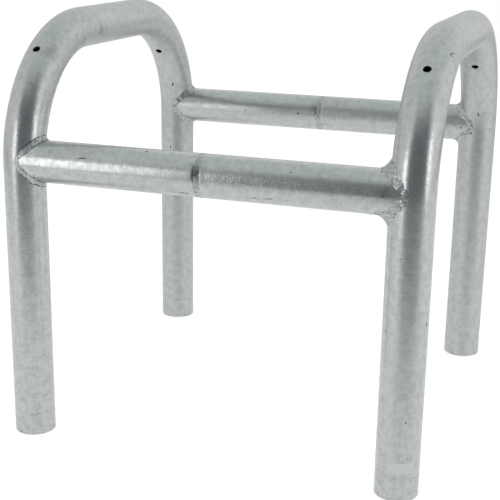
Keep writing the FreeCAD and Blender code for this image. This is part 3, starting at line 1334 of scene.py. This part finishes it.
@dataclass(kw_only=True)
class RingWeld(Weld):
    """The ring weld that holds a spigot in the mouth of its rail, dressed level with the rail's outside."""

    overlap: float = 2.0 * MM
    reach: float = 0.25 * MM
    spigot_sink: float = 0.2 * MM
    uneven_height: float = 0.05 * MM
    ripple_pitch: float = 4.2 * MM
    ripple_height: float = 0.06 * MM
    ripple_lag: float = 0.7
    level_shares: tuple[float, ...] = (0.0, 0.08, 0.6, 1.0)
    levels: tuple[float, ...] = (-0.3 * MM, 0.0, 0.06 * MM, -0.15 * MM)
    toe_share: float = 0.55
    toe_fade: float = 2.5
    edge_power: int = 6
    skin_points: int = 11
    root_points: int = 3

    def build(self) -> Object:
        """Lays the bead between the spigot and the rail's end face.

        Returns:
            The weld, without its zinc.
        """
        low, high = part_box(self.node)
        spigot_low, spigot_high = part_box(f"{self.half.word}_spigot")
        inward, angles, outer = self.half.inward, self.angles, self.sizes.radius
        rail_x, socket_x = (low.x, high.x) if inward > 0 else (high.x, low.x)
        rail_x -= inward * self.overlap
        socket_x += inward * self.reach
        share = np.linspace(0.0, 1.0, self.skin_points)[None, :, None]
        root_share = np.linspace(1.0, 0.0, self.root_points + 2)[None, 1:-1, None]
        arch = 1 - (2 * share - 1) ** self.edge_power
        phase = angles[:, None, None] * round(2 * math.pi * outer / self.ripple_pitch) / 2
        ripple = self.ripple_height * np.abs(np.cos(phase + self.ripple_lag * arch))
        uneven = self.uneven_height * wander(angles, range(5, 23), random.Random(self.seed))
        level = np.interp(share, self.level_shares, self.levels)
        skin_radius = outer + level + arch * (uneven[:, None, None] - ripple)
        root_radius = (spigot_high.z - spigot_low.z) / 2 - self.spigot_sink
        skin, root = (
            self.sizes.rail_axis(self.side)
            + self.spokes[:, None] * radius
            + (shares * (rail_x - socket_x) + socket_x) * np.array([1.0, 0.0, 0.0])
            for shares, radius in ((share, skin_radius), (root_share, root_radius))
        )
        ring = self.lay(skin, root)
        # The toe marks darken the ring's edges with slag and painted crevice shade
        store(ring, Kept.TOE, np.clip(self.toe_share - self.toe_fade * self.from_toe, 0.0, 1.0))
        # The stains include the painted shade at the front seam, which darkens the front ring weld too
        stain(ring, self.sizes)
        return ring


@dataclass(kw_only=True)
class ZincDrop(Piece):
    """A run or lump of zinc that set on the skin, or a spot of ash caught in it.

    Its size is its length, width and height, and its skew the angle in degrees to the tube's direction.
    """

    spot: Spot
    size_mm: Triple
    skew: float = 0.0
    tail: float = 0.5
    crease: float = 80.0

    def build(self) -> Object:
        """Stretches a ball along the surface, tapers it towards its tail and sinks its lower half.

        Returns:
            The drop, without its skin.
        """
        drop = start_piece(bpy.ops.mesh.primitive_uv_sphere_add, segments=24, ring_count=14, radius=1.0)
        shape = points_of(drop)
        shape[:, 1:] *= (1 + self.tail) / 2 + (1 - self.tail) / 2 * shape[:, :1]
        normal = self.spot.normal
        along = Matrix.Rotation(math.radians(self.skew), 3, normal) @ self.spot.along
        across = normal.cross(along).normalized()
        ahead = across.cross(normal).normalized()
        length, width, height = self.size_mm
        axes = MM * np.array([ahead * length / 2, across * width / 2, normal * height])
        move_points(drop, shape @ axes + np.array(self.spot.place))
        store(drop, Kept.TOE, np.zeros(len(shape)))
        return drop


@dataclass(kw_only=True)
class BlankLabel(Piece):
    """The blank film label on the right front leg, bent round the tube, with rounded corners."""

    name: str = "blank_label_film"
    half: Half = Half.RIGHT
    node: str = "label"
    slot: str = "label"
    skins: tuple[Skin, ...] = (Skin.LABEL,)
    crease: float = 35.0
    width: float = 36 * MM
    thickness: float = 0.2 * MM
    gap: float = 0.05 * MM
    corner: float = 2.0 * MM
    corner_steps: int = 5
    strips: int = 24
    turn: float = math.radians(22)

    def build(self) -> Object:
        """Rounds a flat sheet's corners, cuts it into strips, wraps it round the leg and thickens it.

        Returns:
            The label, without its film.
        """
        low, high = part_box(self.node)
        sheet = start_piece(bpy.ops.mesh.primitive_plane_add, size=1.0)
        with editing(sheet):
            bpy.ops.transform.resize(value=(self.width, high.z - low.z, 1.0))
            bpy.ops.mesh.bevel(
                offset=self.corner, segments=self.corner_steps, affect="VERTICES", clamp_overlap=True
            )
            for strip in range(1, self.strips):
                bpy.ops.mesh.select_all(action="SELECT")
                cut = (strip / self.strips - 0.5) * self.width
                bpy.ops.mesh.bisect(plane_co=(cut, 0, 0), plane_no=(1, 0, 0))
        across, up, _ = points_of(sheet).T
        inner = self.sizes.radius + self.gap
        angle = self.turn - math.pi / 2 + across / inner
        x = self.hoop_x + inner * np.cos(angle)
        y = inner * np.sin(angle) - self.sizes.leg_y
        move_points(sheet, np.column_stack([x, y, up + (low.z + high.z) / 2]))
        face_outwards(sheet)
        apply_modifier(sheet, "SOLIDIFY", thickness=self.thickness, offset=1.0)
        return sheet


def frame_pieces(sizes: FrameSizes) -> list[Piece]:
    """Lists the tubes and welds of both halves, with the looks in which they differ.

    Args:
        sizes: The frame's shared sizes.

    Returns:
        The pieces, half by half.
    """
    spigot_sides = {Half.LEFT: Side.REAR, Half.RIGHT: Side.FRONT}
    rail_looks = {
        (Half.LEFT, Side.FRONT): {"grain": 0.3},
        (Half.LEFT, Side.REAR): {"dull": 0.25},
        (Half.RIGHT, Side.FRONT): {"grain": 0.95},
        (Half.RIGHT, Side.REAR): {"dull": 0.6},
    }
    weld_looks = {
        (Half.LEFT, Side.FRONT): {"corner_leg": 7.5 * MM, "spatter_count": 12, "toe_share": 1.4},
        (Half.LEFT, Side.REAR): {
            "corner_leg": 9.0 * MM, "spatter_count": 14, "toe_share": 0.85, "uneven": 1.1,
        },
        (Half.RIGHT, Side.FRONT): {
            "corner_leg": 14.0 * MM, "spatter_count": 60, "toe_share": 0.8, "uneven": 0.9,
            "spatter_turn": math.radians(-145), "spatter_spread": math.radians(45),
        },
        (Half.RIGHT, Side.REAR): {
            "corner_leg": 10.0 * MM, "spatter_count": 20, "toe_share": 0.55, "uneven": 0.9,
        },
    }
    pieces = []
    for number, half in enumerate(Half):
        # The shifts let each tube read its own stretch of the patterns, metres away from the others
        parts = [(Hoop, "hoop_tube", {"pattern_shift": 3.0 * number})]
        for side in Side:
            rail = {"side": side, "pattern_shift": 7.0 + 2.0 * number + side.value}
            weld = {"side": side, "seed": 11 + 10 * number + side.value}
            parts.append((Rail, f"{side.word}_rail_tube", rail | rail_looks[half, side]))
            parts.append((SaddleWeld, f"{side.word}_weld_bead", weld | weld_looks[half, side]))
        parts.append((Spigot, "spigot_tube", {"side": spigot_sides[half]}))
        parts.append((RingWeld, "spigot_weld_bead", {"side": spigot_sides[half], "seed": 41 + number}))
        for kind, word, looks in parts:
            name = f"{half.word}_{word}"
            # A piece's name is that of its node and one word more
            node = name.rpartition("_")[0]
            pieces.append(kind(name=name, node=node, half=half, sizes=sizes, **looks))
    return pieces


def zinc_marks(sizes: FrameSizes) -> list[ZincDrop]:
    """Lists the run, the lump and the ash spots that show in the zinc.

    Args:
        sizes: The frame's shared sizes.

    Returns:
        The drops, each on the skin of the tube that carries it.
    """
    left, right = Half
    on_left, on_right = (partial(sizes.hoop_spot, half) for half in Half)
    on_front, on_rear = (partial(sizes.rail_spot, side) for side in Side)
    run, lump = (on_front(-29, 227), (25, 4, 1.2)), (on_rear(11.5, 213.5), (5, 3.4, 1.3))
    marks = [
        ZincDrop(name="left_front_rail_run", half=left, sizes=sizes, spot=run[0], size_mm=run[1]),
        ZincDrop(name="right_rear_rail_lump", half=right, sizes=sizes, spot=lump[0], size_mm=lump[1]),
    ]
    ash_height_mm = 0.25
    ash_spots = [
        (left, on_left(1118, 166), 7.8, 3.9, -16),
        (left, on_left(1248, 183), 7.8, 2.21, -5),
        (left, on_front(-174, 150), 13.0, 2.21, 8),
        (left, on_front(-84, 107), 3.9, 3.12, 0),
        (left, on_rear(-133, 179), 3.9, 2.6, 20),
        (right, on_right(1143, 172), 7.8, 2.86, 10),
        (right, on_right(1183, 192), 3.9, 3.12, 0),
        (right, on_right(602, 49), 6.5, 3.38, 60),
        (right, on_right(607, 52), 5.85, 2.86, -35),
        (right, on_right(250, 73), 7.15, 1.95, 10),
        (right, on_right(238, -44), 3.12, 2.34, 0),
        (right, on_right(116, 26), 4.68, 1.95, 50),
        (right, on_front(248, 179), 4.42, 3.38, 30),
        (right, on_front(125, 139), 2.86, 2.08, 0),
        (right, on_front(75, 218), 10.4, 1.43, 4),
        (right, on_front(95, 216), 14.3, 1.69, 4),
    ]
    for number, (half, spot, length_mm, width_mm, skew) in enumerate(ash_spots, start=1):
        shape = {"spot": spot, "size_mm": (length_mm, width_mm, ash_height_mm), "skew": skew}
        name = f"{half.word}_ash_spot_{number}"
        marks.append(ZincDrop(name=name, half=half, sizes=sizes, skins=(Skin.ASH,), **shape))
    return marks


# Studio


@dataclass(frozen=True)
class BackgroundPaper(Finish):
    """Matt paper: white to the camera, and in metal a pool of light that fades in front and at its rim."""

    name: str = "matt_background_paper"
    grey: str = "#B4B4B4"
    roughness: float = 0.9
    to_camera: float = 0.75
    in_metal: float = 0.62
    shade_centre: Triple = (0.9, -1.9, 0.0)
    shade_fade: Span = (1.8, 0.55)
    pool_centre: Triple = (0.0, 0.4, 0.0)
    pool_squeeze: Triple = (0.6, 1.0, 1.0)
    rim_fade: Span = (1.5, 2.4)

    def draw(self, add: AddNode) -> Drawing:
        """Draws the glow that the camera and the metal see on the paper.

        Args:
            add: Adds a node to the material's tree.

        Returns:
            What the shader's inputs hold, and no reliefs.
        """
        rays = add("LightPath").node.outputs
        place = add("TexCoord", (), "Object")
        squeezed = add("VectorMath", (place, self.pool_squeeze), operation="MULTIPLY")
        from_shade, from_pool = (
            add("VectorMath", (way, centre), operation="DISTANCE")
            for way, centre in ((place, self.shade_centre), (squeezed, self.pool_centre))
        )
        pool = fade_out(add, (from_shade, *self.shade_fade), (from_pool, *self.rim_fade))
        mirrored = add("Math", (pool, self.in_metal), operation="MULTIPLY")
        seen = add("Math", (rays["Is Camera Ray"], self.to_camera), operation="MULTIPLY")
        glow = add("Math", (rays["Is Glossy Ray"], mirrored, seen), operation="MULTIPLY_ADD")
        looks = {
            "Base Color": linear(self.grey), "Roughness": self.roughness, "Specular IOR Level": 0.0,
            "Emission Color": (1.0, 1.0, 1.0, 1.0), "Emission Strength": glow,
        }
        return looks, []


@dataclass(frozen=True)
class Room:
    """White walls under a greyer ceiling, a dark opening in front and a dim one behind, in linear light.

    The camera itself sees plain white.
    """

    walls: Colour = (0.95, 0.95, 0.95, 1.0)
    ceiling: Colour = (0.7, 0.755, 0.75, 1.0)
    front: Colour = (0.168, 0.187, 0.195, 1.0)
    rear: Colour = (0.34, 0.36, 0.365, 1.0)
    to_camera: Colour = (1.0, 1.0, 1.0, 1.0)
    ceiling_edge: Span = (0.4, 0.9)
    front_turn: float = math.radians(21)
    front_width: Span = (math.radians(43), math.radians(54))
    front_height: Span = (0.6, 1.0)
    rear_width: Span = (math.radians(14), math.radians(30))
    rear_height: Span = (0.0, 0.35)
    left_edge: Span = (-0.9, -0.4)
    left_level: float = 0.82

    def build(self) -> None:
        """Makes the world of the scene, by each direction's turn from the front and its height."""
        world = bpy.data.worlds.new("white_room")
        world.use_nodes = True
        world.node_tree.nodes.clear()
        add = partial(add_node, world.node_tree)
        x, y, z = add("SeparateXYZ", (add("TexCoord", (), "Generated"),)).node.outputs
        forward = add("Math", (y, -1.0), operation="MULTIPLY")
        azimuth = add("Math", (x, forward), operation="ARCTAN2")
        away = add("Math", (azimuth, self.front_turn), operation="SUBTRACT")
        from_front = add("Math", (away,), operation="ABSOLUTE")
        behind = add("Math", (from_front, math.pi), operation="SUBTRACT")
        from_rear = add("Math", (behind,), operation="ABSOLUTE")
        front = fade_out(add, (from_front, *self.front_width), (z, *self.front_height))
        rear = fade_out(add, (from_rear, *self.rear_width), (z, *self.rear_height))
        above = add("MapRange", (z, *self.ceiling_edge), interpolation_type="SMOOTHSTEP")
        walls = add("Mix", (above, self.walls, self.ceiling), data_type="RGBA")
        leftward = add("MapRange", (x, *self.left_edge, self.left_level, 1.0))
        walls = add("VectorMath", (walls, leftward), operation="SCALE")
        walls = add("Mix", (rear, walls, self.rear), data_type="RGBA")
        room = add("Mix", (front, walls, self.front), data_type="RGBA")
        seen = add("LightPath", (), "Is Camera Ray")
        colour = add("Mix", (seen, room, self.to_camera), data_type="RGBA")
        add("OutputWorld", {"Surface": add("Background", {"Color": colour, "Strength": 1.0})})
        bpy.context.scene.world = world


@dataclass(frozen=True)
class SoftBox:
    """One area lamp that stands before the barrier and faces its middle."""

    name: str
    place: Vector
    width: float
    height: float
    radiance: float
    in_metal: bool = True

    def build(self, aim: Vector) -> None:
        """Makes the lamp, with the power that gives its face this radiance.

        Args:
            aim: The place that it faces.
        """
        light = bpy.data.lights.new(self.name, "AREA")
        light.shape = "RECTANGLE"
        light.size, light.size_y = self.width, self.height
        light.energy = self.radiance * math.pi * self.width * self.height
        lamp = bpy.data.objects.new(self.name, light)
        bpy.context.scene.collection.objects.link(lamp)
        lamp.location = self.place
        lamp.rotation_euler = (aim - self.place).to_track_quat("-Z", "Y").to_euler()
        lamp.visible_camera = False
        lamp.visible_glossy = self.in_metal


@dataclass
class Studio:
    """The room with two soft boxes and a front fill, the paper floor, and the camera."""

    floor_half_width: float = 4.0
    floor_front: float = -1.6
    floor_rear: float = 4.0
    floor_sink: float = 0.2 * MM
    aim: Vector = Vector((0, 0, 0.35))
    camera_turn: float = math.radians(20.5075)
    camera_rise: float = math.radians(16.6727)
    camera_roll: float = math.radians(0.4438)
    camera_distance: float = 1.653665
    camera_target: Vector = Vector((-0.023522, -0.16601, 0.269947))
    focal_length: float = 80.05
    sensor_width: float = 36.0
    shift: Span = (0.06, 0.012)

    def add_camera(self) -> None:
        """Places the camera at the photograph's viewing angle."""
        turn, rise = self.camera_turn, self.camera_rise
        back = Vector((math.sin(turn) * math.cos(rise), -math.cos(turn) * math.cos(rise), math.sin(rise)))
        right = (-back).cross(Vector((0, 0, 1))).normalized()
        roll = Matrix.Rotation(self.camera_roll, 3, back)
        axes = Matrix((roll @ right, roll @ right.cross(-back), back)).transposed()
        data = bpy.data.cameras.new("photograph_view")
        data.lens, data.sensor_width = self.focal_length, self.sensor_width
        data.shift_x, data.shift_y = self.shift
        camera = bpy.data.objects.new("photograph_view", data)
        bpy.context.scene.collection.objects.link(camera)
        place = self.camera_target + back * self.camera_distance
        camera.matrix_world = Matrix.Translation(place) @ axes.to_4x4()
        bpy.context.scene.camera = camera

    def add_floor(self) -> None:
        """Lays the paper floor, which reaches further behind the barrier than in front of it."""
        middle = (0, (self.floor_front + self.floor_rear) / 2, -self.floor_sink)
        floor = start_piece(bpy.ops.mesh.primitive_plane_add, size=1.0, location=middle)
        with editing(floor):
            bpy.ops.transform.resize(
                value=(2 * self.floor_half_width, self.floor_rear - self.floor_front, 1.0),
                center_override=middle,
            )
            bpy.ops.mesh.subdivide(number_cuts=3)
        floor.name = "paper_floor"
        floor.data.materials.append(BackgroundPaper().make())

    def build(self) -> None:
        """Sets up the room, the lamps, the floor and the camera."""
        bpy.context.scene.view_settings.view_transform = "Standard"
        Room().build()
        for lamp in (
            SoftBox("left_soft_box", Vector((-1.07, -1.95, 0.62)), width=0.44, height=1.24, radiance=2.05),
            SoftBox("right_soft_box", Vector((3.0, -0.8, 0.75)), width=0.8, height=1.5, radiance=1.3),
            SoftBox("front_fill", Vector((0.8, -2.4, 1.4)), 1.2, 1.2, radiance=2.4, in_metal=False),
        ):
            lamp.build(self.aim)
        self.add_floor()
        self.add_camera()


def main() -> None:
    """Builds the studio, both halves of the barrier, the marks in its zinc and its label."""
    logging.basicConfig(level=logging.INFO, format="%(name)s: %(message)s")
    sizes = FrameSizes.from_nodes()
    materials = {skin: skin.value.make() for skin in Skin}
    Studio().build()
    for piece in [*frame_pieces(sizes), *zinc_marks(sizes), BlankLabel(sizes=sizes)]:
        mesh = piece.build()
        piece.dress(mesh, materials)
        LOG.info("%s: %d faces, on %s", mesh.name, len(mesh.data.polygons), piece.half.value)


if __name__ == "__main__":
    main()
